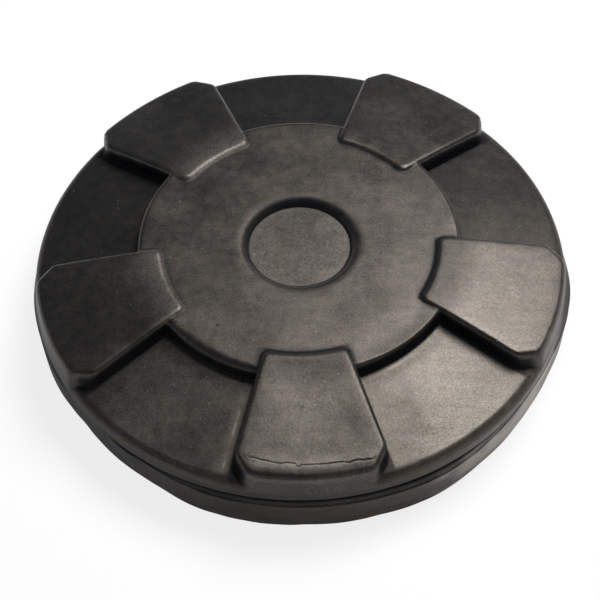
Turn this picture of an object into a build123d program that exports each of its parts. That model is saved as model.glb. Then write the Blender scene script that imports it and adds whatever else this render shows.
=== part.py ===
from build123d import *
import os
from math import acos, asin, cos, degrees, radians, sin, tan

# Rubber jack pad, a slip-over pad for the carrier plate of a lift arm.
# It is one moulding: a round body with a raised seat in the middle, a shoulder that falls away
# from the seat, five keystone blocks on that shoulder, and a skirt round the hollow underside.
# Millimetres and degrees. The origin is the centre of the bottom face and +Z is up.
# The viewer stands at -Y, so the front block points there.

# Hollow underside, which slips over the carrier plate
cavity_radius = 52.5
cavity_depth = 10.0
lip_reach = 2.0            # the lip at the mouth snaps in this far under the plate
lip_land = 2.0
lip_ramp = 1.5             # height of the slope from the land back to the cavity wall

# Outer wall, from the bottom up
skirt_wall = 9.8           # thickness of the skirt just under the seam
skirt_taper = 0.4          # the skirt draws in this much towards the bottom
skirt_edge_bevel = 0.6
groove_height = 11.2       # middle of the parting groove, over the bottom
groove_width = 1.1
groove_depth = 0.9
seam_drop = 2.6            # from the groove down to the seam, where the skirt steps back
seam_step = 0.25
band_overhang = 0.2        # the upper band stands out from the skirt
band_height = 4.6          # from the groove up to the sharp rim
rim_edge_radius = 1.8

# Shoulder, raised seat and recess
slope = 9.4                # the shoulder falls outwards
seat_radius = 37.7
seat_wall_height = 4.5     # from the seat down to the start of the shoulder
seat_draft = 3.0
seat_edge_radius = 1.1
recess_radius = 11.7
recess_depth = 1.9
recess_lip_radius = 1.7
turned_edge_flats = 4      # the roundings of the rim, the seat and the recess have this many flats

# Keystone blocks
block_count = 5
block_turn = 1.6           # the front block's axis stands this far to the right of -Y
block_half_angle = 16.85   # from the block's axis to the side edges of its top
block_slope = 10.1         # the tops fall a little faster than the shoulder
block_seat_reach = 5.9     # from the edge of the seat in to the inner wall's foot
block_rim_margin = 0.05    # from the outer wall's foot out to the band
block_step = 1.25          # height of the inner edge over the seat
block_draft = 5.0          # of the side walls, the cut corners and the outer wall
block_inner_draft = 30.0   # the low inner wall is much flatter
block_edge_radius = 1.4    # rounding all the way round the top
inner_corner_cut = 2.0     # the inner corners are cut off over this length
outer_corner_cut = 4.0     # and the outer corners over this one
block_root = 1.6           # the blocks reach down into the body this far under the rim

# Worked out from the sizes above
skirt_radius = cavity_radius + skirt_wall
pad_radius = skirt_radius + band_overhang
fall = tan(radians(slope))
seat_foot_radius = seat_radius + seat_wall_height * tan(radians(seat_draft))
rim_height = groove_height + band_height
shoulder_height = rim_height + (pad_radius - seat_foot_radius) * fall
seat_height = shoulder_height + seat_wall_height
block_inner_radius = seat_radius - block_seat_reach
block_outer_radius = pad_radius - block_rim_margin
block_foot = rim_height - block_root
lean = tan(radians(block_draft))
inner_lean = tan(radians(block_inner_draft))
block_fall = tan(radians(block_slope))


def limited(size, wall):
    """A rounding or bevel that stays within its wall."""
    return min(size, 0.9 * wall)


def rounded(before, corner, after, radius):
    """The points of a rounding in flats, where a section's outline turns clockwise at a corner."""
    corner = Vector(*corner)
    back = (Vector(*before) - corner).normalized()
    onward = (Vector(*after) - corner).normalized()
    half = acos(back.dot(onward)) / 2
    centre = corner + (back + onward).normalized() * (radius / sin(half))
    spoke = corner + back * (radius / tan(half)) - centre
    step = -(180 - 2 * degrees(half)) / turned_edge_flats
    return [centre + spoke.rotate(Axis.Z, step * count) for count in range(turned_edge_flats + 1)]


def body_section():
    """Half section of the body without the blocks."""
    recess_floor = seat_height - recess_depth
    groove_top = groove_height + groove_width / 2
    groove_foot = groove_height - groove_width / 2
    seam_height = groove_height - seam_drop
    ledge_radius = skirt_radius - seam_step
    skirt_foot_radius = skirt_radius - skirt_taper
    lip_radius = cavity_radius - lip_reach
    skirt_bevel = limited(skirt_edge_bevel, seam_height - seam_step)

    recess_foot = (recess_radius, recess_floor)
    recess_lip = (recess_radius, seat_height)
    seat_edge = (seat_radius, seat_height)
    seat_foot = (seat_foot_radius, shoulder_height)
    rim = (pad_radius, rim_height)
    groove_edge = (pad_radius, groove_top)
    outline = [(0, recess_floor), recess_foot]
    outline += rounded(recess_foot, recess_lip, seat_edge, limited(recess_lip_radius, recess_depth))
    outline += rounded(recess_lip, seat_edge, seat_foot, limited(seat_edge_radius, seat_wall_height))
    outline += [seat_foot]
    outline += rounded(seat_foot, rim, groove_edge, limited(rim_edge_radius, rim_height - groove_top))
    outline += [
        groove_edge,
        (pad_radius - groove_depth, groove_height),
        (ledge_radius, groove_foot),
        (ledge_radius, seam_height),
        (skirt_radius, seam_height - seam_step),
        (skirt_foot_radius, skirt_bevel),
        (skirt_foot_radius - skirt_bevel, 0),
        (lip_radius, 0),
        (lip_radius, lip_land),
        (cavity_radius, lip_land + lip_ramp),
        (cavity_radius, cavity_depth),
        (0, cavity_depth),
    ]
    return Plane.XZ * make_face(Polyline(*outline, close=True))


def polar(radius, angle):
    """A point in plan, with the angle counted from -Y towards +X."""
    return (radius * sin(radians(angle)), -radius * cos(radians(angle)))


def mirrored(point):
    """The same point on the other side of the front block's axis."""
    return (-point[0], point[1])


def beyond(start, end):
    """The point as far past the end as the start lies before it."""
    return (2 * end[0] - start[0], 2 * end[1] - start[1])


def inner_wall(level):
    """Radius of the blocks' inner wall, which leans outwards from the seat up."""
    return block_inner_radius + inner_lean * (level - seat_height)


def outer_wall(level):
    """Radius of the blocks' outer wall, which leans inwards from its foot up."""
    return block_outer_radius - lean * (level - block_foot)


def top_height(reach):
    """Height of the flat block top, where reach is counted along the block's axis."""
    return seat_height + block_step - (reach - block_inner_radius) * block_fall


def block_plan():
    """Outline of a block's sides and cut corners level with the seat, carried past the round walls.

    The top's side edges point at the axis. A side wall leans out from such a falling edge, so that
    its level lines stand at a smaller angle and at a distance from the axis.
    """
    inner = block_inner_radius
    outer = outer_wall(seat_height)
    half_angle = radians(block_half_angle)
    line_angle = half_angle - asin(lean * block_fall * cos(half_angle))
    line_distance = lean * (top_height(0) - seat_height)

    def side_angle(radius):
        return degrees(line_angle + asin(line_distance / radius))

    inner_end = polar(inner, side_angle(inner) - degrees(inner_corner_cut / inner))
    side_start = polar(inner + inner_corner_cut, side_angle(inner + inner_corner_cut))
    side_end = polar(outer - outer_corner_cut, side_angle(outer - outer_corner_cut))
    outer_end = polar(outer, side_angle(outer) - degrees(outer_corner_cut / outer))
    right = [beyond(side_start, inner_end), side_start, side_end, beyond(side_end, outer_end)]
    left = [mirrored(point) for point in right]
    outer_tip = polar(pad_radius + outer_corner_cut, 0)
    return make_face(Polyline(*left, outer_tip, *reversed(right), close=True))


def keystone_block():
    """One block at the front: drafted walls under a sloping plane, rounded round its top."""
    near = block_inner_radius - block_seat_reach
    far = pad_radius
    top = top_height(near)
    foot_plan = offset(block_plan(), amount=lean * (seat_height - block_foot), kind=Kind.INTERSECTION)
    sides = extrude(Pos(0, 0, block_foot) * foot_plan, amount=top - block_foot, taper=block_draft)
    ring_corners = [
        (inner_wall(block_foot), block_foot),
        (outer_wall(block_foot), block_foot),
        (outer_wall(top), top),
        (inner_wall(top), top),
    ]
    ring = revolve(Plane.XZ * make_face(Polyline(*ring_corners, close=True)), axis=Axis.Z)
    room_corners = [(near, block_foot), (far, block_foot), (far, top_height(far)), (near, top)]
    side_view = Plane(origin=(0, 0, 0), x_dir=(0, -1, 0), z_dir=(-1, 0, 0))
    room_face = side_view * make_face(Polyline(*room_corners, close=True))
    block = ring & sides & extrude(room_face, amount=pad_radius, both=True)
    top_face = block.faces().sort_by(Axis.Z)[-1]
    rounding = limited(block_edge_radius, min(inner_corner_cut, outer_corner_cut))
    return fillet(top_face.edges(), rounding)


def jack_pad():
    """The whole moulding."""
    body = revolve(body_section(), axis=Axis.Z)
    block = keystone_block()
    for index in range(block_count):
        turn = block_turn + index * 360 / block_count
        body += Rot(0, 0, turn) * block
    return body


pad = jack_pad()
os.makedirs("parts", exist_ok=True)
export_step(pad, "parts/jack_pad.step")
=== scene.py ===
from math import asin, cos, hypot, pi, radians, sin, tan

import bpy
import numpy as np
from mathutils import Matrix, Vector


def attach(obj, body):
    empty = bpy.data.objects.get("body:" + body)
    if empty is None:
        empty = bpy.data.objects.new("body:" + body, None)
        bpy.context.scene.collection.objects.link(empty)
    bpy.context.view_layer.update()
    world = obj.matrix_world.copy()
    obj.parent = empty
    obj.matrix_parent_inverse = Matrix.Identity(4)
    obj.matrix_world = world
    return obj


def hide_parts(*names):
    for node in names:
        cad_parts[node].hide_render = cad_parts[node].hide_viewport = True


# Rubber jack pad: one moulding, shown by one mesh on a polar net.
# The pad's lengths are millimetres, as in the drawing, and its mesh is scaled to metres at the end.
# The camera, the floor and the light round it are in metres.
# Plan angles count from -Y, where the viewer stands, towards +X.
MM = 0.001

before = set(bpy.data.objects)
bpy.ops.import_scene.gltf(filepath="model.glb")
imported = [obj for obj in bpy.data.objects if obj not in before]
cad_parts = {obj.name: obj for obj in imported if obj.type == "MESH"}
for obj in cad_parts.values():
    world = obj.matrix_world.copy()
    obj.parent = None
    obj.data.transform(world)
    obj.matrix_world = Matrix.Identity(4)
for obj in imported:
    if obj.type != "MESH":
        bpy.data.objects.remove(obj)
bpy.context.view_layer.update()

# Turned shapes
PAD_R = 62.5
RIM_Z = 15.8
RIM_ROUND = 1.8
SLOPE = radians(9.4)
FALL = tan(SLOPE)
SEAT_R = 37.7
SEAT_WALL = 4.5
SEAT_DRAFT = radians(3.0)
SEAT_FOOT_R = SEAT_R + SEAT_WALL * tan(SEAT_DRAFT)
SEAT_Z = RIM_Z + (PAD_R - SEAT_FOOT_R) * FALL + SEAT_WALL
SEAT_ROUND = 1.1
SHOULDER_END_R = 0.8 * SEAT_R    # hidden in the seat; the shoulder rises no further inside it
RECESS_R = 11.7
RECESS_DEPTH = 1.9
RECESS_ROUND = 2.8
RECESS_SIDE_R = 0.6 * SEAT_R     # between the recess and the seat's edge

# Keystone blocks
BLOCKS = 5
BLOCK_PITCH = 2 * pi / BLOCKS
BLOCK_TURN = radians(1.6)
BLOCK_HALF = radians(16.85)
BLOCK_SLOPE = radians(10.1)
BLOCK_FALL = tan(BLOCK_SLOPE)
BLOCK_SEAT_REACH = 5.9
BLOCK_RIM_MARGIN = 0.05
BLOCK_IN = SEAT_R - BLOCK_SEAT_REACH
BLOCK_OUT = PAD_R - BLOCK_RIM_MARGIN
BLOCK_STEP = 1.25
BLOCK_DRAFT = radians(5.0)
LEAN = tan(BLOCK_DRAFT)
INNER_DRAFT = radians(30.0)
BLOCK_ROUND = 1.0
BLOCK_ROOT = 1.6
BLOCK_FOOT_Z = RIM_Z - BLOCK_ROOT
ROLL_OFF = 0.25
ROLL_OFF_REACH = 1.1
INNER_ROLL_OFF = 0.22
INNER_ROLL_OFF_REACH = 1.8
TOP_BOW = 0.0018
TOP_BOW_FROM = 44.5
INNER_CORNER = 2.0
CUT = 4.0
CORNER_ROUND = 1.0
FOOT_FILLET = 0.4
# The top's side edges point at the axis; the side walls lean out from them, so that a wall's level
# lines stand at a smaller angle and pass the axis at a distance that shrinks with the height
TOP_PEAK_Z = SEAT_Z + BLOCK_STEP + BLOCK_IN * BLOCK_FALL
LINE_ANGLE = BLOCK_HALF - asin(LEAN * BLOCK_FALL * cos(BLOCK_HALF))

# Side wall, from the rim down
RIM_FOOT_Z = RIM_Z - RIM_ROUND * tan((pi / 2 - SLOPE) / 2)
GROOVE_Z = 11.2
SEAM_Z = 8.6
SKIRT_R = 62.3
SKIRT_FOOT_R = 61.9
SKIRT_HEIGHTS = (7.9, 7.2, 6.4, 5.5, 4.6, 3.7, 2.8, 2.0, 1.3, 0.9)
LEDGE_R = 62.05
FOOT_ROUND = 0.6
FOOT_ROUND_CENTRE_R = 61.35

# Hollow underside
LIP_R = 50.5
LIP_Z = 2.0
CAVITY_R = 52.5
CAVITY_FOOT_Z = 3.5
CAVITY_Z = 10.0

# Irregular places of this one pad: size in mm, then middle and width in degrees of the plan angle
SHOULDER_RISES = [(0.45, 38, 22), (0.35, -38, 20)]
SHOULDER_RISE_REACH = 2.5
SEAT_ROUND_CHANGES = [(0.9, -35, 22), (-0.6, 42, 24)]
SEAT_SAGS = [(0.12, 15, 55)]
SEAT_SAG_REACH = 2.2
SKIRT_BULGES = [(1.65, 83, 11), (0.85, -82, 14)]
SKIRT_DENTS = [(1.25, -52, 13), (0.8, -34, 8), (0.5, 54, 9), (0.2, 42, 8), (-0.5, 27, 11)]
RIM_BULGES = [(0.35, 115, 38)]

# Waves: height, size of the lumps and seed
TOP_WAVES = [(0.05, 17.0, 1), (0.03, 7.0, 2), (0.012, 2.6, 3)]
CRACK_WAVES = [(0.18, 1.6, 21), (0.1, 0.8, 22)]

# Front block: its sunken top, and the crack near its outer end, with lengths sideways from its axis
FRONT_DISH = 0.28
DISH_FROM_R = 33.0
DISH_TO_R = 60.5
DISH_SIDE_MARGIN = 1.2
CRACK_DEPTH = 0.13
CRACK_WIDTH = 0.1
CRACK_END = 15.6
CRACK_EDGE_DROP = 0.05
CRACK_EDGE_WIDTH = 2.4
CRACK_SIDEWAYS = [-13.4, -8.9, -3.5, -3.0, -2.4, 6.2, 11.6, 14.8]
CRACK_RADII = [58.1, 58.5, 58.4, 59.5, 58.7, 58.9, 59.3, 59.9]
CRACK_MEAN_R = 58.8


def smooth_step(x):
    """0 below 0, 1 above 1, and a soft change between them."""
    x = np.clip(x, 0.0, 1.0)
    return x * x * (3.0 - 2.0 * x)


def fade_in(value, start, length):
    """0 up to the start, and 1 from a length further on."""
    return smooth_step((value - start) / length)


def fade_out(value, end, length):
    """1 up to a length before the end, and 0 from the end on."""
    return smooth_step((end - value) / length)


def bell(x, centre, width):
    """A soft hump of height 1."""
    return np.exp(-(((x - centre) / width) ** 2))


def spot(angle, middle, width):
    """A soft hump of height 1 round the pad, with its middle and width in degrees."""
    return bell(angle, radians(middle), radians(width))


def humps(angle, places):
    """Several soft humps round the pad, each given by its height, middle and width."""
    return sum(height * spot(angle, middle, width) for height, middle, width in places)


def plan_angle(x, y):
    """Plan angle of a point, between half a turn to the left and half a turn to the right."""
    return np.arctan2(x, -y)


def wrapped(angle):
    """The same direction as an angle within half a turn of the viewer's side."""
    return (angle + pi) % (2 * pi) - pi


def lattice(ix, iy, seed):
    """Repeatable random values between -1 and 1 at whole-number points."""
    n = (ix.astype(np.int64) * 374761393 + iy.astype(np.int64) * 668265263 + seed * 974634777) & 0xFFFFFFFF
    n = ((n ^ (n >> 13)) * 1274126177) & 0xFFFFFFFF
    n = n ^ (n >> 16)
    return (n & 0xFFFFFF) / float(0xFFFFFF) * 2.0 - 1.0


def noise(x, y, size, seed):
    """Smooth noise between -1 and 1, with lumps of about the given size."""
    x = x / size
    y = y / size
    ix = np.floor(x)
    iy = np.floor(y)
    fx = smooth_step(x - ix)
    fy = smooth_step(y - iy)
    low = lattice(ix, iy, seed) * (1 - fx) + lattice(ix + 1, iy, seed) * fx
    high = lattice(ix, iy + 1, seed) * (1 - fx) + lattice(ix + 1, iy + 1, seed) * fx
    return low * (1 - fy) + high * fy


def waves(x, y, kinds):
    """Smooth noise of several heights and sizes."""
    return sum(height * noise(x, y, size, seed) for height, size, seed in kinds)


def rounded(distances, radius):
    """Where several walls meet, their common solid with a rounded edge."""
    over = [distance + radius for distance in distances]
    outside = np.sqrt(sum(np.maximum(o, 0.0) ** 2 for o in over))
    inside = np.minimum(np.maximum.reduce(over), 0.0)
    return outside + inside - radius


def joined(first, second, fillet):
    """Two solids in one, with a small fillet in the inner corner."""
    near = np.maximum(fillet - np.abs(first - second), 0.0) / fillet
    return np.minimum(first, second) - near * near * fillet / 4


def body(r, angle, z):
    """Shoulder, seat and recess, negative inside the rubber."""
    turn = wrapped(angle)
    cone_z = RIM_Z + (PAD_R - np.maximum(r, SHOULDER_END_R)) * FALL
    cone_z = cone_z + humps(turn, SHOULDER_RISES) * bell(r, SEAT_FOOT_R, SHOULDER_RISE_REACH)
    shoulder = rounded([(z - cone_z) * cos(SLOPE), r - PAD_R], RIM_ROUND)
    wall = SEAT_R + (SEAT_Z - z) * tan(SEAT_DRAFT)
    edge_round = SEAT_ROUND + humps(turn, SEAT_ROUND_CHANGES)
    sag = humps(turn, SEAT_SAGS) * np.exp(np.minimum(r - SEAT_R, 0.0) / SEAT_SAG_REACH)
    seat = rounded([(r - wall) * cos(SEAT_DRAFT), z - SEAT_Z + sag], edge_round)
    bowl = rounded([RECESS_R - r, z - SEAT_Z], RECESS_ROUND)
    bowl = np.minimum(bowl, z - SEAT_Z + RECESS_DEPTH)
    top = np.where(r < RECESS_SIDE_R, bowl, seat)
    return joined(shoulder, top, FOOT_FILLET)


def cut_line():
    """The outer corner cut level with the seat, as its outward direction and its distance from the axis."""
    outer = BLOCK_OUT - LEAN * (SEAT_Z - BLOCK_FOOT_Z)
    shift = LEAN * (TOP_PEAK_Z - SEAT_Z)
    start_angle = LINE_ANGLE + asin(shift / (outer - CUT))
    end_angle = LINE_ANGLE + asin(shift / outer) - CUT / outer
    start = ((outer - CUT) * sin(start_angle), (outer - CUT) * cos(start_angle))
    end = (outer * sin(end_angle), outer * cos(end_angle))
    length = hypot(end[0] - start[0], end[1] - start[1])
    normal = ((end[1] - start[1]) / length, (start[0] - end[0]) / length)
    return normal, normal[0] * start[0] + normal[1] * start[1]


CUT_NORMAL, CUT_DISTANCE = cut_line()


def side_distance(u, v, z):
    """How far a point stands out from a block's side wall, counted level."""
    return u * cos(LINE_ANGLE) - v * sin(LINE_ANGLE) - LEAN * (TOP_PEAK_Z - z)


def inner_distance(r, z):
    """How far a point stands out from a block's inner wall."""
    return (BLOCK_IN + tan(INNER_DRAFT) * (z - SEAT_Z) - r) * cos(INNER_DRAFT)


def block(r, local, z):
    """One keystone block, with the angle counted from its own axis."""
    u = np.abs(r * np.sin(local))
    v = r * np.cos(local)
    square_on = cos(BLOCK_DRAFT)
    side = side_distance(u, v, z) * square_on
    inner = inner_distance(r, z)
    outer = (r - BLOCK_OUT + LEAN * (z - BLOCK_FOOT_Z)) * square_on
    cut = (u * CUT_NORMAL[0] + v * CUT_NORMAL[1] - CUT_DISTANCE + LEAN * (z - SEAT_Z)) * square_on
    plan = np.maximum.reduce([
        rounded([inner, side], INNER_CORNER),
        rounded([side, cut], CORNER_ROUND),
        rounded([cut, outer], CORNER_ROUND),
    ])
    roll_off = ROLL_OFF * np.exp(np.minimum(plan, 0.0) / ROLL_OFF_REACH)
    roll_off += INNER_ROLL_OFF * np.exp(np.minimum(inner, 0.0) / INNER_ROLL_OFF_REACH)
    roll_off += TOP_BOW * np.maximum(TOP_BOW_FROM - v, 0.0) ** 2
    top = (z - TOP_PEAK_Z + v * BLOCK_FALL + roll_off) * cos(BLOCK_SLOPE)
    return rounded([plan, top], BLOCK_ROUND)


def local_angle(angle):
    """The angle from the nearest block's axis."""
    turned = (angle - BLOCK_TURN) / BLOCK_PITCH
    return (turned - np.round(turned)) * BLOCK_PITCH


def pad(r, angle, z):
    """The whole upper side, negative inside the rubber."""
    return joined(body(r, angle, z), block(r, local_angle(angle), z), FOOT_FILLET)


HALVINGS = 34
SEARCH_BELOW = 1.0
SEARCH_ABOVE = 2.0


def top_height(r, angle):
    """Height of the upper side, found by halving."""
    low = np.full(r.shape, RIM_FOOT_Z - SEARCH_BELOW)
    high = np.full(r.shape, SEAT_Z + BLOCK_STEP + SEARCH_ABOVE)
    for _ in range(HALVINGS):
        middle = (low + high) / 2
        inside = pad(r, angle, middle) < 0
        low = np.where(inside, middle, low)
        high = np.where(inside, high, middle)
    return (low + high) / 2


# The net: spokes crowd at the blocks' side walls, rings at the turned edges and the blocks' ends
WALL_STEPS = np.array([0.07, 0.15, 0.23, 0.31, 0.42, 0.6, 0.85, 1.15, 1.5, 1.95, 2.5, 3.2])
BLOCK_SPOKES = 28
FRONT_BLOCK_SPOKES = 68
SECTOR_SPOKES = 36
COARSE = 4                       # inside the fine rings and underneath, only one spoke in four goes on
FINE_FROM_R = 26.0               # from here outwards the spokes keep their distances in millimetres
EVEN_TO_R = 15.0                 # the spokes of the inner rings are even up to here
EVEN_EASE = 10.0
OUTER_ARC_R = 62.1
SECTOR_END_R = 60.4
SECTOR_EASE = radians(10)
CUT_MIDDLE_Z = 18.0
CUT_CORNER_R = 57.0
NET_START_R = 58.0
NET_ROUNDS = 4                   # the rings' radii and the spokes' angles settle in this many rounds
INNER_RINGS = [
    27.5, 29.0, 30.2, 31.0, 31.35, 31.55, 31.7, 31.8, 31.9, 32.0, 32.12, 32.25, 32.38, 32.52, 32.68,
    32.86, 33.06, 33.3, 33.6, 34.1, 34.8, 35.5, 36.2, 36.6, 36.9, 37.15, 37.34, 37.49, 37.6, 37.68,
    37.74, 37.79, 37.84, 37.89, 37.95, 38.04, 38.17, 38.35, 38.65, 39.1,
]
MIDDLE_RINGS = 22
END_STEPS = [
    -5.2, -4.6, -4.0, -3.5, -3.24, -3.14, -3.06, -3.0, -2.94, -2.86, -2.76, -2.5, -2.1, -1.7, -1.4, -1.2,
    -1.03, -0.88, -0.74, -0.61, -0.49, -0.38, -0.28, -0.19, -0.11, -0.03, 0.05, 0.12, 0.2, 0.27,
]
CRACK_STEP = -3.0                # the ring at this step runs along the crack, and its neighbours bend too
CRACK_PULL_SIDEWAYS = 15.0
CRACK_PULL_END = -1.1
CRACK_PULL_EASE = 1.6
RIM_STEPS = [sin(radians(angle)) for angle in (14, 27, 40, 52, 64, 76)]
CENTRE_RINGS = [
    3.0, 6.0, 8.5, 10.2, 11.2, 11.55, 11.69, 11.71, 11.75, 11.83, 11.95, 12.12, 12.34, 12.6, 12.92,
    13.27, 13.7, 14.4, 15.5, 17.0, 19.0, 21.5, 24.0,
]


def spoke_terms():
    """Each spoke's angle is a sum: shares of the pitch and of the side wall's angle, and an offset in mm."""
    steps = np.concatenate([-WALL_STEPS[::-1], [0.0], WALL_STEPS[:-1]])
    rows = []
    turns = []
    for index in range(BLOCKS):
        count = BLOCK_SPOKES if index else FRONT_BLOCK_SPOKES
        before = len(rows)
        for t in np.linspace(-1, 1, count + 2)[1:-1]:
            rows.append((0.0, t, t * steps[0]))
        for step in steps:
            rows.append((0.0, 1.0, step))
        for t in np.linspace(0, 1, SECTOR_SPOKES + 2)[1:-1]:
            rows.append((t, 1 - 2 * t, (1 - 2 * t) * steps[-1]))
        for step in steps[::-1]:
            rows.append((1.0, -1.0, -step))
        turns += [index * BLOCK_PITCH + BLOCK_TURN] * (len(rows) - before)
    return np.array(rows), np.array(turns)


SPOKE_TERMS, SPOKE_TURNS = spoke_terms()
SPOKES = len(SPOKE_TURNS)


def side_angle(r):
    """Angle of the middle of a block's side wall from the block's axis."""
    cone = RIM_Z + (PAD_R - r) * FALL
    on_seat = 1 - fade_in(r, SEAT_R - 0.3, 0.9)
    base = cone + on_seat * (SEAT_Z - cone)
    top = TOP_PEAK_Z - r * cos(BLOCK_HALF) * BLOCK_FALL
    shift = LEAN * (TOP_PEAK_Z - (base + top) / 2)
    return LINE_ANGLE + np.arcsin(shift / r)


def spoke_angles(r):
    """Plan angle of every spoke, where each has its own radius."""
    reach = np.maximum(r, FINE_FROM_R)
    pitch_share, wall_share, offset = SPOKE_TERMS.T
    return SPOKE_TURNS + pitch_share * BLOCK_PITCH + wall_share * side_angle(reach) + offset / reach


def contour(angle):
    """Radius of the blocks' outer end at a plan angle, which eases out to the rim between the blocks."""
    a = np.abs(local_angle(angle))
    distance = CUT_DISTANCE + LEAN * (SEAT_Z - CUT_MIDDLE_Z)
    corner = float(side_angle(CUT_CORNER_R))
    cut = distance / (np.sin(a) * CUT_NORMAL[0] + np.cos(a) * CUT_NORMAL[1])
    at_corner = distance / (sin(corner) * CUT_NORMAL[0] + cos(corner) * CUT_NORMAL[1])
    between = at_corner + (SECTOR_END_R - at_corner) * fade_in(a, corner, SECTOR_EASE)
    return np.where(a < corner, np.minimum(OUTER_ARC_R, cut), between)


def crack_radius(sideways):
    """Radius of the cracked skin's edge near the front block's outer end, at a distance from its axis."""
    return np.interp(sideways, CRACK_SIDEWAYS, CRACK_RADII) + waves(sideways, sideways, CRACK_WAVES)


def crack_pull(angles, step):
    """How far the rings by the crack leave their even course to follow it across the front block."""
    angle = wrapped(angles - BLOCK_TURN)
    sideways = CRACK_MEAN_R * np.sin(angle)
    on_block = fade_out(np.abs(sideways), CRACK_PULL_SIDEWAYS, 2.5) * (np.cos(angle) > 0)
    share = np.clip(min(step - END_STEPS[0], CRACK_PULL_END - step) / CRACK_PULL_EASE, 0.0, 1.0)
    return on_block * share * (crack_radius(sideways) - OUTER_ARC_R - CRACK_STEP)


def rim_radii(end_r, share):
    """Radii between the blocks' ends and the outer wall."""
    start_r = end_r + END_STEPS[-1]
    return start_r + (PAD_R - start_r) * share


def ring_rules():
    """Rules for the upper rings' radii: steady ones, then ones that bend round the blocks' ends."""
    rules = [lambda end_r, angles, r=r: np.full(SPOKES, r) for r in INNER_RINGS]
    last_r = INNER_RINGS[-1]
    for share in np.arange(1, MIDDLE_RINGS) / MIDDLE_RINGS:
        rules.append(lambda end_r, angles, share=share: last_r + (end_r + END_STEPS[0] - last_r) * share)
    for step in END_STEPS:
        rules.append(lambda end_r, angles, step=step: end_r + step + crack_pull(angles, step))
    for share in RIM_STEPS:
        rules.append(lambda end_r, angles, share=share: rim_radii(end_r, share))
    return rules


def crack_depth(x, y):
    """The crack, and the worn edge beyond it, which lies a little lower."""
    r = np.hypot(x, y)
    angle = plan_angle(x, y) - BLOCK_TURN
    sideways = r * np.sin(angle)
    past = r - crack_radius(sideways)
    on_block = fade_out(np.abs(sideways), CRACK_END, 1.2) * (np.cos(angle) > 0)
    uneven = noise(sideways, np.zeros_like(r), size=2.1, seed=23)
    open_part = 0.5 + 0.6 * fade_in(sideways, -2, 12) + 0.3 * uneven
    worn = CRACK_EDGE_DROP * fade_in(past, -0.15, 0.3) * fade_out(past, CRACK_EDGE_WIDTH, 1.5)
    return on_block * (CRACK_DEPTH * open_part * bell(past, 0.0, CRACK_WIDTH) + worn)


def front_dish(x, y):
    """The front block's top has sunk a little along its middle, as thick rubber does when it cools."""
    r = np.hypot(x, y)
    angle = plan_angle(x, y) - BLOCK_TURN
    across = np.clip(r * np.sin(angle) / (r * sin(BLOCK_HALF) - DISH_SIDE_MARGIN), -1.0, 1.0)
    along = fade_in(r, DISH_FROM_R, 3.0) * fade_out(r, DISH_TO_R, 4.0)
    return FRONT_DISH * (1 - across * across) * along * (np.cos(angle) > 0)


def relief(x, y):
    """Small unevenness of the upper side."""
    return waves(x, y, TOP_WAVES) - crack_depth(x, y) - front_dish(x, y)


def skirt_dent(angle):
    """How far the skirt is pressed in, at its lower edge."""
    return humps(wrapped(angle), SKIRT_DENTS)


def rim_shift(angle):
    """How far the rim stands out of its round, at the right and a little way round the back."""
    onward = angle % (2 * pi)    # without the jump of wrapped angles at the back, which this bulge passes
    return humps(onward, RIM_BULGES)


def skirt_shift(angle, z):
    """How far the thin skirt stands out of its round."""
    turn = wrapped(angle)
    low = fade_out(z, GROOVE_Z + 2.0, 5.0)
    bulge = humps(turn, SKIRT_BULGES) * fade_out(z, GROOVE_Z + 2.4, 2.2)
    along = PAD_R * turn
    ripple = 0.12 * noise(along, z, size=9.0, seed=11) + 0.06 * noise(along, 2 * z, size=3.4, seed=12)
    return (ripple - skirt_dent(angle)) * low + bulge + rim_shift(angle)


def upper_point_ring(radii, angles):
    """Points of one ring on the upper side."""
    height = top_height(radii, angles)
    radii = radii + rim_shift(angles) * fade_in(radii, 55.0, 6.0)
    x = radii * np.sin(angles)
    y = -radii * np.cos(angles)
    return np.stack([x, y, height + relief(x, y)], 1)


def wall_point_ring(radii, angles, z):
    """Points of one level ring."""
    return np.stack([radii * np.sin(angles), -radii * np.cos(angles), np.full(len(angles), z)], 1)


def side_profile():
    """Radius and height down the outer wall and round its foot."""
    band = [(PAD_R, RIM_FOOT_Z), (PAD_R, 13.4), (PAD_R, 12.8), (PAD_R, 12.25), (PAD_R - 0.01, 11.95)]
    groove = [
        (62.42, 11.84), (62.28, 11.76), (62.0, 11.66), (61.7, 11.5), (61.6, 11.3), (61.6, 11.05),
        (61.72, 10.85), (61.9, 10.7), (62.0, 10.6),
    ]
    ledge = [(LEDGE_R, 10.4), (LEDGE_R, 9.7), (LEDGE_R, 9.1)]
    seam = [(62.06, 8.85), (62.12, 8.74), (62.2, 8.66), (62.26, 8.56), (62.29, 8.44), (SKIRT_R, 8.3)]
    skirt = [(SKIRT_FOOT_R + (SKIRT_R - SKIRT_FOOT_R) * z / SEAM_Z, z) for z in SKIRT_HEIGHTS]
    foot = []
    for turn in (15, 35, 55, 75, 90):
        r = FOOT_ROUND_CENTRE_R + FOOT_ROUND * cos(radians(turn))
        foot.append((r, FOOT_ROUND - FOOT_ROUND * sin(radians(turn))))
    return band + groove + ledge + seam + skirt + foot


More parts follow.
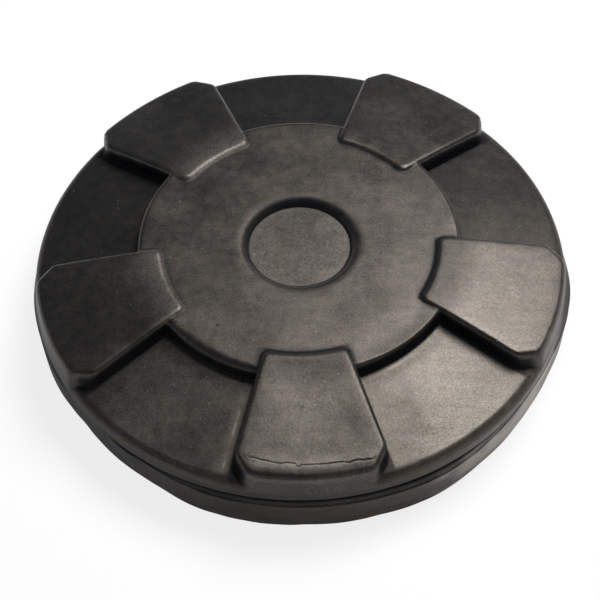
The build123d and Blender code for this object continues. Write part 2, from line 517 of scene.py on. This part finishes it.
def underside_profile():
    """Radius and height from the foot inwards, over the lip and across the hollow."""
    foot = [(60.0, 0.0), (57.0, 0.0), (53.5, 0.0), (51.2, 0.0)]
    lip = [(LIP_R + 0.2, 0.0), (LIP_R, 0.2), (LIP_R, 1.0), (LIP_R, LIP_Z)]
    ramp = [(51.2, 2.55), (51.9, 3.05), (CAVITY_R, CAVITY_FOOT_Z)]
    wall = [(CAVITY_R, z) for z in (4.6, 6.2, 7.8, 9.0, 9.5)]
    corner = [(CAVITY_R - 0.15, 9.85), (CAVITY_R - 0.5, CAVITY_Z)]
    roof = [(r, CAVITY_Z) for r in (50.0, 44.0, 36.0, 27.0, 18.0, 9.0)]
    return foot + lip + ramp + wall + corner + roof


def ring_points():
    """All rings of the net, from the middle of the top to the middle of the underside."""
    seat_angles = spoke_angles(np.full(SPOKES, FINE_FROM_R))[::COARSE]
    even_angles = seat_angles[0] + np.arange(len(seat_angles)) * 2 * pi / len(seat_angles)
    rings = []
    for r in CENTRE_RINGS:
        angles = even_angles + (seat_angles - even_angles) * fade_in(r, EVEN_TO_R, EVEN_EASE)
        rings.append(upper_point_ring(np.full(len(angles), r), angles))
    for rule in ring_rules():
        angles = spoke_angles(np.full(SPOKES, NET_START_R))
        for _ in range(NET_ROUNDS):
            radii = rule(contour(angles), angles)
            angles = spoke_angles(radii)
        rings.append(upper_point_ring(radii, angles))
    angles = spoke_angles(np.full(SPOKES, PAD_R))
    for r, z in side_profile():
        rings.append(wall_point_ring(r + skirt_shift(angles, z), angles, z))
    for r, z in underside_profile():
        rings.append(wall_point_ring(r, angles[::COARSE], z))
    return rings


def ring_faces(sizes):
    """Faces between the rings, with many-sided ones where the number of spokes changes, and both caps."""
    starts = np.cumsum([1] + list(sizes))
    faces = []
    for i in range(len(sizes) - 1):
        a, b = starts[i], starts[i + 1]
        n, m = sizes[i], sizes[i + 1]
        few = min(n, m)
        for j in range(few):
            k = (j + 1) % few
            if n == m:
                faces.append((a + j, b + j, b + k, a + k))
            elif n < m:
                faces.append((a + j, *[b + (COARSE * j + s) % m for s in range(COARSE + 1)], a + k))
            else:
                faces.append((b + j, b + k, *[a + (COARSE * j + s) % n for s in range(COARSE, -1, -1)]))
    first, last = sizes[0], sizes[-1]
    end = starts[-1]
    for j in range(first):
        faces.append((0, 1 + j, 1 + (j + 1) % first))
    for j in range(last):
        faces.append((end, starts[-2] + (j + 1) % last, starts[-2] + j))
    return faces


class Skin:
    """The mesh points in the terms that wear, dust, painted shade and painted light are placed in."""

    def __init__(self, points):
        self.x, self.y, self.z = points.T
        self.r = np.hypot(self.x, self.y)
        self.angle = plan_angle(self.x, self.y)
        self.above_rim = self.z > RIM_FOOT_Z
        # length along the outer wall
        self.along = PAD_R * self.angle
        # from the nearest block's axis, and along it
        self.local = local_angle(self.angle)
        self.u = np.abs(self.r * np.sin(self.local))
        self.v = self.r * np.cos(self.local)
        # depth under the slope of the blocks' tops, and distance sideways past a top's side edge
        self.below_top = TOP_PEAK_Z - self.v * BLOCK_FALL - self.z
        self.past_edge = self.u - self.v * tan(BLOCK_HALF)

    def sector(self, margin):
        """Low places of the upper side outside the seat's foot: the sectors and the blocks' outer ends."""
        return (self.r > SEAT_FOOT_R + margin) * (self.z < SEAT_Z - 3.0) * self.above_rim

    def from_side_edge(self, side):
        """Distance to the right of the front block's side edge: 1 is its right side, -1 its left."""
        return self.r * np.sin(self.angle - side * BLOCK_HALF - BLOCK_TURN)


def top_painted_shade(skin):
    """Painted shade on the seat's and the blocks' walls, round the recess and at the blocks' inner feet."""
    r, z = skin.r, skin.z
    seat_wall = bell(np.maximum(r - SEAT_FOOT_R, 0.0), 0.0, 0.4) * fade_out(z, SEAT_Z - 0.5, 1.3)
    seat_wall = seat_wall * (r > SEAT_R - 1.0)
    side = side_distance(skin.u, skin.v, z)
    side_wall = bell(np.maximum(side, 0.0), 0.0, 0.4) * fade_in(skin.below_top, 0.7, 1.4)
    side_wall = side_wall * fade_out(r, 62.0, 2.0) * (r > SEAT_R)
    far_side = 0.5 - 0.5 * np.cos(skin.angle - radians(10))
    bowl_wall = fade_out(r, RECESS_R + 1.2 + 2.4 * far_side, 0.8 + 1.8 * far_side)
    bowl_wall = bowl_wall * (r > RECESS_R + 0.06) * (0.2 + 0.8 * far_side)
    low_wall = rounded([inner_distance(r, z), side], INNER_CORNER)
    inner_foot = 0.9 * bell(low_wall, 0.1, 0.6) * (r < SEAT_R - 0.5) * fade_in(skin.below_top, 0.25, 0.7)
    most = np.maximum.reduce([seat_wall, side_wall, bowl_wall, inner_foot])
    return np.where(z > RIM_FOOT_Z - 0.5, most, 0.0)


def groove_painted_shade(skin):
    """Painted shade in the groove, which reaches lower at the dents and the far left, on the ledge and the
    seam.
    """
    r, z = skin.r, skin.z
    far_left = spot(skin.angle, -76, 15)
    between = fade_out(z, 12.05 + 0.8 * far_left, 0.2) * (r > 59.0)
    uneven = noise(skin.along, z, size=4.0, seed=51)
    lower = np.maximum(skirt_dent(skin.angle), 0.0) + 2.6 * far_left
    groove = smooth_step((z - 9.6 + 1.5 * lower - 0.3 * uneven) / 0.45) * between
    ledge = (0.6 + 0.3 * uneven) * fade_in(z, 8.5, 0.15) * between
    seam = (0.7 + 0.3 * uneven) * bell(z, 8.62, 0.16) * (r > 61.0)
    return np.maximum.reduce([groove, ledge, seam])


def painted_shade(skin):
    """Share of dark painted shade with a duller sheen: in corners and grooves, on the left wall and on the
    farthest sector.
    """
    r, z = skin.r, skin.z
    left_wall = 0.35 * spot(skin.angle, -65, 30) * (z < RIM_FOOT_Z) * (r > 59.0)
    far_sector = 0.4 * bell(np.abs(skin.angle), pi, 0.55) * (r > SEAT_FOOT_R) * (z < SEAT_Z - 2.5)
    return np.maximum.reduce([top_painted_shade(skin), groove_painted_shade(skin), left_wall, far_sector])


def dull_and_shaded_sectors(skin):
    """Painted shade as a duller sheen on the low sectors, where those near the viewer stay glossy but for a
    stain at the right.
    """
    r, angle = skin.r, skin.angle
    low = 0.95 * fade_out(skin.z, SEAT_Z - 2.0, 2.0) * fade_in(skin.below_top, 1.5, 1.0)
    near = np.maximum(spot(angle, -37, 26), spot(angle, 37, 26))
    coarse = noise(skin.x, skin.y, size=6.0, seed=41)
    fine = noise(skin.x, skin.y, size=2.3, seed=42)
    blotches = smooth_step(0.6 + 0.5 * coarse + 0.4 * fine)
    stained = 0.75 * blotches * spot(angle, 29, 6) * bell(r, 51.5, 6.5)
    stained = stained + 0.12 * blotches * spot(angle, 44, 10)
    return low * (1 - near + stained * near)


def shaded_front_block(skin):
    """Painted shade as a duller sheen along the front block's side edges and at its outer end."""
    r, angle, below_top = skin.r, skin.angle, skin.below_top
    beside = (np.abs(angle) < 0.45) * (r > 31.0)
    edge = 0.9 * bell(skin.past_edge, 0.0, 1.3) * beside * (below_top < 2.5)
    soft_edge = 0.4 * bell(skin.past_edge, 0.0, 4.0) * beside * (below_top < 1.2)
    outer_end = 0.9 * fade_in(r, 59.2, 1.2) * (np.abs(angle) < 0.33) * (below_top < 0.9)
    return np.maximum.reduce([edge, soft_edge, outer_end])


def dull_and_shaded_share(skin):
    """Share of duller sheen, most of it painted shade: outer walls, low sectors, and parts of the seat, the
    recess and some blocks.
    """
    r, angle, below_top = skin.r, skin.angle, skin.below_top
    wall = fade_out(skin.z, RIM_FOOT_Z + 0.4, 0.9) * (1 - spot(angle, 60, 27))
    end_wall = fade_in(r, PAD_R - 1.6, 0.6) * fade_in(below_top, 0.6, 0.6)
    end_wall = 0.8 * end_wall * fade_in(np.abs(angle), 0.5, 0.4)
    off_block = skin.past_edge > 0.8
    seat_edge = 0.75 * fade_in(r, SEAT_R - 5.0, 3.5) * spot(angle, 38, 26)
    seat_edge = seat_edge * (r < SEAT_R + 0.3) * (below_top < 1.9 + 9.0 * off_block)
    far_left = smooth_step((np.cos(angle + radians(125)) - 0.2) / 0.8)
    recess_lip = 0.8 * bell(r, RECESS_R + 2.4, 0.9) * far_left
    inner_part = 0.75 * fade_out(r, 44.0, 8.0) * (skin.past_edge < 0.0) * (below_top < 1.6) * (r > 31.5)
    inner_part = inner_part * (np.cos(angle - radians(38)) > 0.6)
    return np.maximum.reduce([
        wall, end_wall, seat_edge, recess_lip, inner_part, dull_and_shaded_sectors(skin), shaded_front_block(skin),
    ])


def worn_and_lit_front_block(skin):
    """Lighter skin on the front block: past the crack, and painted light in the middle of its top and on its
    outer wall.
    """
    r, z = skin.r, skin.z
    own = skin.angle - BLOCK_TURN
    sideways = r * np.sin(own)
    past = r - crack_radius(sideways)
    past_crack = 0.1 * fade_in(past, 0.0, 0.2) * fade_out(past, 2.0, 0.8)
    past_crack = past_crack * (np.abs(sideways) < 14.5) * (np.cos(own) > 0)
    middle = 0.6 * bell(r, 52.0, 6.5) * spot(own, 0, 9) * (z > SEAT_Z - 4.0)
    outer_wall = (r > PAD_R - 1.0) * skin.above_rim * (np.abs(own) < 0.23)
    return np.maximum.reduce([past_crack, middle, outer_wall])


def worn_and_lit_sectors(skin):
    """Lighter skin on the low sectors on both sides of the front block: a strip beside its left side,
    painted light on the near sectors and a painted highlight along the seat's foot at the right.
    """
    r, angle = skin.r, skin.angle
    low = skin.sector(0.2)
    strip = 0.8 * bell(skin.from_side_edge(-1), -2.4, 1.3) * fade_in(r, 40.0, 3.0) * fade_out(r, 61.5, 2.0)
    strip = strip * (np.cos(angle) > 0)
    near_left = 0.4 * spot(angle, -36, 17) * low
    foot_line = bell(r, SEAT_FOOT_R + 1.0, 0.6) * spot(angle, 38, 16) * low
    outer_part = bell(r, 56.0, 5.5) * spot(angle, 36, 15) * low
    return np.maximum.reduce([strip, near_left, foot_line, outer_part])


def worn_and_lit_share(skin):
    """Share of lighter, glossier skin, some of it rubbed and most of it painted light: also on the rim, in
    the recess and at the left blocks' inner ends.
    """
    r, angle = skin.r, skin.angle
    rim = 0.5 * bell(r, PAD_R - 1.0, 0.5) * skin.above_rim
    rim = rim * smooth_step(0.5 + noise(r * angle, np.zeros_like(r), size=5.0, seed=31))
    recess_floor = np.maximum(0.4 * (r < RECESS_R), 0.7 * bell(r, RECESS_R - 0.45, 0.35))
    on_block = (r > BLOCK_IN) * (np.abs(skin.local) < BLOCK_HALF) * (skin.below_top < 1.4)
    left_blocks = fade_out(r, 43.0, 9.0) * on_block * (np.cos(angle + radians(106)) > 0.6)
    shares = [rim, recess_floor, left_blocks, worn_and_lit_front_block(skin), worn_and_lit_sectors(skin)]
    return np.clip(np.maximum.reduce(shares), 0.0, 1.0)


def wall_dust_and_reflection(skin):
    """Brown dust on the outer wall, with more of it at the right, where its high share paints a pale
    reflection, and less at the left and on the band.
    """
    r, z, along = skin.r, skin.z, skin.along
    coarse = noise(along, 2 * z, size=8.0, seed=61)
    fine = noise(along, 3 * z, size=2.5, seed=62)
    patches = 0.75 + 0.25 * coarse + 0.15 * fine
    outside = fade_out(z, RIM_FOOT_Z + 0.6, 1.2) * (r > 59.0)
    end_wall = (r > PAD_R - 1.3) * skin.above_rim
    band = 1.0 - 0.45 * (z > GROOVE_Z)
    sideways = 0.66 + spot(skin.angle, 52, 26) - 0.45 * spot(skin.angle, -60, 30)
    return patches * band * np.maximum(outside, end_wall) * sideways


def sector_dust_and_highlight(skin):
    """Pale lines on the near sectors: a painted highlight at the foot of the seat and along the front block
    at the right, and a pale line beside the block's left side.
    """
    r, angle = skin.r, skin.angle
    low = skin.sector(0.15) * (r < 60.0)
    right_of_block = skin.from_side_edge(1)
    block_line = 0.9 * bell(right_of_block, 1.8, 1.2) * (right_of_block > 0.3)
    right = 0.95 * np.maximum(bell(r, SEAT_FOOT_R + 1.0, 0.7), block_line) * low * spot(angle, 34, 18)
    rough = 0.85 + 0.3 * noise(skin.x, skin.y, size=1.5, seed=71)
    left = low * bell(skin.from_side_edge(-1), -2.2, 0.9) * spot(angle, -19, 9)
    left = 0.95 * left * rough * fade_in(r, 39.5, 3.0)
    return np.maximum(right, left)


def dust_and_reflection_share(skin):
    """Share of dust and painted reflection, from the outer wall's brownish dust to a pale painted reflection
    and highlight where the share is high.
    """
    return np.clip(np.maximum(wall_dust_and_reflection(skin), sector_dust_and_highlight(skin)), 0.0, 1.6)


def add_share(mesh, name, values):
    """Stores one share for each point, which the material reads by its name."""
    layer = mesh.attributes.new(name, "FLOAT", "POINT")
    layer.data.foreach_set("value", values.astype(np.float32))


def make_pad():
    """The pad's mesh, with the shares that its material reads."""
    rings = ring_points()
    middle = np.array([[0.0, 0.0, rings[0][:, 2].mean()]])
    under = np.array([[0.0, 0.0, CAVITY_Z]])
    points = np.concatenate([middle] + rings + [under])
    faces = ring_faces([len(ring) for ring in rings])
    mesh = bpy.data.meshes.new("rubber_pad")
    mesh.from_pydata((points * MM).tolist(), [], faces)
    skin = Skin(points)
    # painted shade: blue-black, duller skin in corners and grooves, on the left wall and the far sector
    add_share(mesh, "painted_shade", painted_shade(skin))
    # duller sheen, mostly painted shade on walls, edges and sectors that lie in shade
    add_share(mesh, "dull_and_shaded", dull_and_shaded_share(skin))
    # lighter, glossier skin: some rubbing, mostly painted light and a painted highlight
    add_share(mesh, "worn", worn_and_lit_share(skin))
    # dust, and where its share is high a pale painted reflection and highlight
    add_share(mesh, "dust_and_reflection", dust_and_reflection_share(skin))
    mesh.shade_smooth()
    mesh.set_sharp_from_angle(angle=radians(55))
    pad_object = bpy.data.objects.new("rubber_pad", mesh)
    bpy.context.scene.collection.objects.link(pad_object)
    return pad_object


def input_named(node, name, value):
    """Sets one input of a node to a constant."""
    node.inputs[name].default_value = value


# The mix node has sockets of one name for each kind of value; these are its colours
MIX_COLOUR_A = 6
MIX_COLOUR_B = 7
MIX_COLOUR_RESULT = 2


class NodeTree:
    """Short ways to add and join the nodes of one material."""

    def __init__(self, material):
        material.use_nodes = True
        self.nodes = material.node_tree.nodes
        self.links = material.node_tree.links
        self.shader = self.nodes["Principled BSDF"]

    def put(self, socket, value):
        """Joins a socket to another node's output, or sets it to a constant."""
        if isinstance(value, bpy.types.NodeSocket):
            self.links.new(value, socket)
        else:
            socket.default_value = value

    def noise(self, vector, scale, detail, roughness=0.5):
        node = self.nodes.new("ShaderNodeTexNoise")
        input_named(node, "Scale", scale)
        input_named(node, "Detail", detail)
        input_named(node, "Roughness", roughness)
        self.put(node.inputs["Vector"], vector)
        return node.outputs["Fac"]

    def spread(self, value, low, high, to_low, to_high):
        """The value's stretch from low to high, carried over to another stretch."""
        node = self.nodes.new("ShaderNodeMapRange")
        self.put(node.inputs["Value"], value)
        input_named(node, "From Min", low)
        input_named(node, "From Max", high)
        input_named(node, "To Min", to_low)
        input_named(node, "To Max", to_high)
        return node.outputs["Result"]

    def sums(self, operation, first, second):
        node = self.nodes.new("ShaderNodeMath")
        node.operation = operation
        self.put(node.inputs[0], first)
        self.put(node.inputs[1], second)
        return node.outputs[0]

    def chain(self, operation, values):
        """All values put together by one operation, from the first to the last."""
        result = values[0]
        for value in values[1:]:
            result = self.sums(operation, result, value)
        return result

    def blend(self, share, first, second):
        node = self.nodes.new("ShaderNodeMix")
        node.data_type = "RGBA"
        self.put(node.inputs["Factor"], share)
        self.put(node.inputs[MIX_COLOUR_A], first)
        self.put(node.inputs[MIX_COLOUR_B], second)
        return node.outputs[MIX_COLOUR_RESULT]

    def share(self, name):
        node = self.nodes.new("ShaderNodeAttribute")
        node.attribute_name = name
        return node.outputs["Fac"]

    def stretched(self, vector, turn, scale):
        node = self.nodes.new("ShaderNodeMapping")
        self.put(node.inputs["Vector"], vector)
        input_named(node, "Rotation", turn)
        input_named(node, "Scale", scale)
        return node.outputs["Vector"]

    def specks(self, vector, scale, size, rarity):
        """Small round spots, one in each of a few cells of the given fineness."""
        cells = self.nodes.new("ShaderNodeTexVoronoi")
        input_named(cells, "Scale", scale)
        self.put(cells.inputs["Vector"], vector)
        dot = self.spread(cells.outputs["Distance"], size * 0.6, size, 1.0, 0.0)
        split = self.nodes.new("ShaderNodeSeparateColor")
        self.put(split.inputs["Color"], cells.outputs["Color"])
        chosen = self.spread(split.outputs["Red"], rarity, rarity + 0.01, 0.0, 1.0)
        return self.sums("MULTIPLY", dot, chosen)


# Colours of the rubber, of what lies on it, and of the painted shade and light
RUBBER_COOL = (0.0068, 0.0071, 0.0076, 1)
RUBBER_WARM = (0.0098, 0.0093, 0.0087, 1)
# lighter rubber for rubbed skin and for painted light
RUBBER_WORN_AND_LIT = (0.03, 0.028, 0.026, 1)
SHEEN_COOL = (0.96, 0.875, 0.78, 1)
SHEEN_WARM = (1.0, 0.845, 0.715, 1)
DUST_BROWN = (0.042, 0.032, 0.024, 1)
# pale colour of thick dust and of the painted reflection and highlight
PALE_DUST_AND_REFLECTION = (0.27, 0.237, 0.21, 1)
DUST_SPECKS = (0.3, 0.29, 0.28, 1)
# blue-black of the painted shade
PAINTED_SHADE_COLOUR = (0.002, 0.0032, 0.006, 1)
BRUSHED_TURN = (0.0, 0.0, radians(-38))
BRUSHED_SCALE = (90.0, 900.0, 90.0)
BUMP_STRENGTH = 0.22
BUMP_DISTANCE = 0.00012


class Rubber:
    """Satin black rubber: cloudy sheen, brushed streaks, specks, dust, rubbed skin, painted shade and
    painted light.
    """

    def __init__(self):
        self.material = bpy.data.materials.new("black_rubber")
        self.tree = NodeTree(self.material)
        tree = self.tree
        self.place = tree.nodes.new("ShaderNodeTexCoord").outputs["Object"]
        self.clouds = tree.noise(self.place, 75.0, 3.0, 0.55)
        self.mottle = tree.noise(self.place, 420.0, 5.0, 0.7)
        self.grain = tree.noise(self.place, 2300.0, 3.0, 0.6)
        # painted shade in corners and grooves
        self.shade = tree.share("painted_shade")
        # duller sheen, mostly painted shade
        self.dull_and_shaded = tree.share("dull_and_shaded")
        # lighter skin, mostly painted light
        self.worn = tree.share("worn")
        # dust, with a painted reflection where its share is high
        self.dust_and_reflection = tree.share("dust_and_reflection")

    def sheen(self):
        """How strongly the skin mirrors: one factor for each unevenness, each kind of wear, and the painted
        shade and light.
        """
        tree = self.tree
        brushed = tree.noise(tree.stretched(self.place, BRUSHED_TURN, BRUSHED_SCALE), 1.0, 3.0)
        in_clouds = tree.spread(self.clouds, 0.5, 0.6, 0.0, 1.0)
        holes = tree.sums("MULTIPLY", tree.specks(self.place, 640.0, 0.3, 0.96), in_clouds)
        return tree.chain("MULTIPLY", [
            tree.spread(self.clouds, 0.3, 0.7, 0.44, 0.68),
            tree.spread(self.mottle, 0.3, 0.7, 0.82, 1.18),
            tree.spread(self.grain, 0.3, 0.7, 0.66, 1.34),
            tree.spread(brushed, 0.35, 0.65, 0.94, 1.06),
            # painted shade lowers the sheen
            tree.spread(self.shade, 0.0, 1.0, 1.0, 0.35),
            # painted shade as a duller sheen
            tree.spread(self.dull_and_shaded, 0.0, 1.0, 1.0, 0.45),
            # painted light raises the sheen
            tree.spread(self.worn, 0.0, 1.0, 1.0, 1.3),
            # painted reflection raises the sheen where the dust share is high
            tree.spread(self.dust_and_reflection, 0.7, 1.4, 1.0, 2.3),
            tree.spread(holes, 0.0, 1.0, 1.0, 0.45),
        ])

    def tint(self):
        """Colour of the sheen, a little warmer in places."""
        warm = self.tree.spread(self.mottle, 0.35, 0.62, 0.0, 1.0)
        return self.tree.blend(warm, SHEEN_COOL, SHEEN_WARM)

    def roughness(self):
        """Roughness from the clouds, and what each other unevenness, kind of wear and share of painted shade
        and light adds.
        """
        tree = self.tree
        return tree.chain("ADD", [
            tree.spread(self.clouds, 0.3, 0.7, 0.31, 0.39),
            tree.spread(self.mottle, 0.3, 0.7, -0.03, 0.03),
            tree.spread(self.shade, 0.0, 1.0, 0.0, 0.12),
            tree.spread(self.worn, 0.0, 1.0, 0.0, 0.08),
            tree.spread(self.dull_and_shaded, 0.0, 1.0, 0.0, 0.06),
        ])

    def colour(self):
        """Rubber, then brownish and pale dust, the pale partly a painted reflection, blue-black painted
        shade and lighter rubbed skin that is mostly painted light, with specks of dust on top.
        """
        tree = self.tree
        colour = tree.blend(tree.spread(self.mottle, 0.35, 0.65, 0.0, 1.0), RUBBER_COOL, RUBBER_WARM)
        colour = tree.blend(self.dust_and_reflection, colour, DUST_BROWN)
        # pale painted reflection and highlight where the dust share is high
        colour = tree.blend(tree.spread(self.dust_and_reflection, 0.75, 1.35, 0.0, 0.9), colour, PALE_DUST_AND_REFLECTION)
        # painted shade, blue-black
        colour = tree.blend(self.shade, colour, PAINTED_SHADE_COLOUR)
        # lighter skin, mostly painted light
        rubbed_and_lit = tree.sums("MULTIPLY", self.worn, tree.spread(self.grain, 0.4, 0.6, 0.2, 0.9))
        colour = tree.blend(rubbed_and_lit, colour, RUBBER_WORN_AND_LIT)
        small = tree.specks(self.place, 1500.0, 0.24, 0.968)
        large = tree.specks(self.place, 620.0, 0.11, 0.982)
        settled = tree.spread(tree.noise(self.place, 60.0, 2.0), 0.42, 0.62, 0.08, 0.5)
        dust = tree.sums("MULTIPLY", tree.sums("MAXIMUM", small, large), settled)
        return tree.blend(dust, colour, DUST_SPECKS)

    def normal(self):
        """Relief finer than the mesh."""
        tree = self.tree
        grain = tree.sums("MULTIPLY", self.grain, 0.35)
        mottle = tree.sums("MULTIPLY", self.mottle, 0.65)
        pits = tree.sums("MULTIPLY", tree.specks(self.place, 900.0, 0.25, 0.93), 0.6)
        bump = tree.nodes.new("ShaderNodeBump")
        input_named(bump, "Strength", BUMP_STRENGTH)
        input_named(bump, "Distance", BUMP_DISTANCE)
        tree.put(bump.inputs["Height"], tree.sums("SUBTRACT", tree.sums("ADD", grain, mottle), pits))
        return bump.outputs["Normal"]


def rubber_material():
    rubber = Rubber()
    inputs = rubber.tree.shader.inputs
    rubber.tree.put(inputs["Specular IOR Level"], rubber.sheen())
    rubber.tree.put(inputs["Specular Tint"], rubber.tint())
    rubber.tree.put(inputs["Roughness"], rubber.roughness())
    rubber.tree.put(inputs["Base Color"], rubber.colour())
    rubber.tree.put(inputs["Normal"], rubber.normal())
    return rubber.material


# Floor: the share of white glow in it, for the camera and in reflections
FLOOR_COLOUR = (0.85, 0.85, 0.85, 1)
FLOOR_SEEN = 0.82
FLOOR_MIRRORED = 0.3
FLOOR_HALF = 3.0
FLOOR_DROP = 0.00002


def floor_material():
    """Pale floor that the camera and reflections see nearly white, with the object's shadow kept."""
    material = bpy.data.materials.new("pale_floor")
    tree = NodeTree(material)
    input_named(tree.shader, "Base Color", FLOOR_COLOUR)
    input_named(tree.shader, "Roughness", 0.9)
    input_named(tree.shader, "Specular IOR Level", 0.0)
    glow = tree.nodes.new("ShaderNodeEmission")
    input_named(glow, "Strength", 1.0)
    ray = tree.nodes.new("ShaderNodeLightPath")
    seen = tree.sums("MAXIMUM", ray.outputs["Is Camera Ray"], ray.outputs["Is Transmission Ray"])
    mirrored = tree.sums("MULTIPLY", ray.outputs["Is Glossy Ray"], FLOOR_MIRRORED)
    share = tree.sums("ADD", mirrored, tree.sums("MULTIPLY", seen, FLOOR_SEEN))
    mix = tree.nodes.new("ShaderNodeMixShader")
    tree.put(mix.inputs["Fac"], share)
    tree.put(mix.inputs[1], tree.shader.outputs["BSDF"])
    tree.put(mix.inputs[2], glow.outputs["Emission"])
    tree.put(tree.nodes["Material Output"].inputs["Surface"], mix.outputs["Shader"])
    return material


def make_floor():
    half = FLOOR_HALF
    mesh = bpy.data.meshes.new("floor")
    corners = [(-half, -half, 0), (half, -half, 0), (half, half, 0), (-half, half, 0)]
    mesh.from_pydata(corners, [], [(0, 1, 2, 3)])
    floor = bpy.data.objects.new("floor", mesh)
    floor.location.z = -FLOOR_DROP
    mesh.materials.append(floor_material())
    bpy.context.scene.collection.objects.link(floor)


# Studio: white near the horizon and dark above, by the height of the direction looked in
SKY_LOW = 0.12
SKY_LOW_COLOUR = (1, 1, 1, 1)
SKY_HIGH = 0.34
SKY_HIGH_COLOUR = (0.11, 0.115, 0.13, 1)


def make_world():
    world = bpy.data.worlds.new("studio")
    bpy.context.scene.world = world
    world.use_nodes = True
    nodes = world.node_tree.nodes
    links = world.node_tree.links
    background = nodes["Background"]
    place = nodes.new("ShaderNodeTexCoord")
    split = nodes.new("ShaderNodeSeparateXYZ")
    links.new(place.outputs["Generated"], split.inputs["Vector"])
    ramp = nodes.new("ShaderNodeValToRGB")
    low, high = ramp.color_ramp.elements
    low.position = SKY_LOW
    low.color = SKY_LOW_COLOUR
    high.position = SKY_HIGH
    high.color = SKY_HIGH_COLOUR
    links.new(split.outputs["Z"], ramp.inputs["Fac"])
    links.new(ramp.outputs["Color"], background.inputs["Color"])


# Softbox behind the pad to the right, in metres and watts
KEY_PLACE = (0.153, 0.158, 0.45)
KEY_AIM = (0.0, 0.0, 0.02)
KEY_SIZE = 0.262
KEY_POWER = 3.55


def make_softbox(name, place, aim, size, power):
    data = bpy.data.lights.new(name, "AREA")
    data.shape = "SQUARE"
    data.size = size
    data.energy = power
    light = bpy.data.objects.new(name, data)
    light.location = place
    direction = Vector(aim) - Vector(place)
    light.rotation_euler = direction.to_track_quat("-Z", "Y").to_euler()
    bpy.context.scene.collection.objects.link(light)


def make_camera():
    """The photograph's view, turned out of a straight look at the seat by a small tilt, pan and roll."""
    distance = 0.4397
    elevation = radians(51.24)
    pan = radians(0.015)
    tilt = radians(1.783)
    roll = radians(-1.185)
    data = bpy.data.cameras.new("camera")
    data.sensor_width = 36.0
    data.lens = 113.28
    camera = bpy.data.objects.new("camera", data)
    place = Vector((0, -distance * cos(elevation), distance * sin(elevation) + SEAT_Z * MM))
    straight = Matrix.Rotation(pi / 2 - elevation, 3, "X")
    small = Matrix.Rotation(pan, 3, "Y") @ Matrix.Rotation(-tilt, 3, "X") @ Matrix.Rotation(roll, 3, "Z")
    camera.matrix_world = Matrix.Translation(place) @ (straight @ small).to_4x4()
    bpy.context.scene.collection.objects.link(camera)
    bpy.context.scene.camera = camera


make_camera()
make_world()
make_floor()
make_softbox("key", KEY_PLACE, KEY_AIM, KEY_SIZE, KEY_POWER)

pad_object = make_pad()
pad_object.data.materials.append(rubber_material())
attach(pad_object, "root")
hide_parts("jack_pad")

bpy.context.scene.view_settings.view_transform = "Standard"
